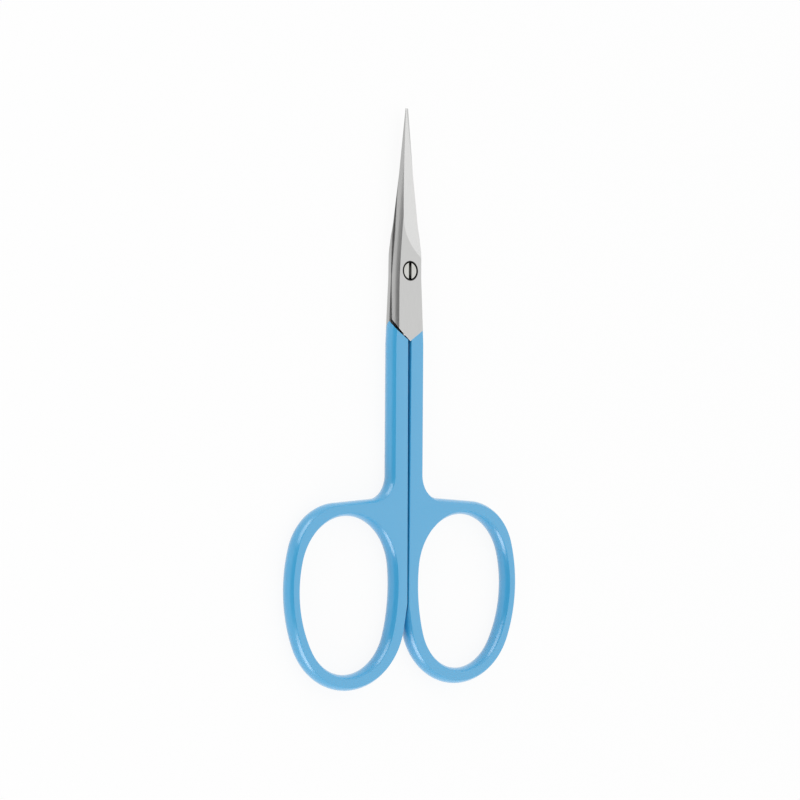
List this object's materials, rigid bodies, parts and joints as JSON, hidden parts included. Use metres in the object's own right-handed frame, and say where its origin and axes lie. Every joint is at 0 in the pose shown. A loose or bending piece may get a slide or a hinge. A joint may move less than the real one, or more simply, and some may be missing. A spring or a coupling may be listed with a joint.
{
  "type": "nail scissors",
  "caption": "Small nail scissors with straight pointed steel blades, a slotted pivot screw and light blue coated shanks and oval finger rings; the halves turn on the screw and are shown closed.",
  "frame": {"origin": "on the plane the closed scissors lie on, under the middle of their whole outline", "axes": "+Y from the finger rings to the blade tips, +Z from the back faces to the side with the screw head, +X towards the front half's ring"},
  "size_m": [0.0504, 0.0992, 0.003],
  "materials": {
    "steel": "satin ground stainless steel",
    "blue_coat": "satin light blue powder coat",
    "screw_steel": "bright turned steel"
  },
  "bodies": {
    "rear": {"rear_half": "steel", "rear_coat": "blue_coat", "pivot_screw": "screw_steel"},
    "front": {"front_half": "steel", "front_coat": "blue_coat"}
  },
  "joints": [
    {"name": "pivot", "type": "hinge", "parent": "rear", "child": "front", "pos_m": [0, 0.0216, 0.0015], "axis": [0, 0, 1], "range_deg": [0, 130]}
  ]
}
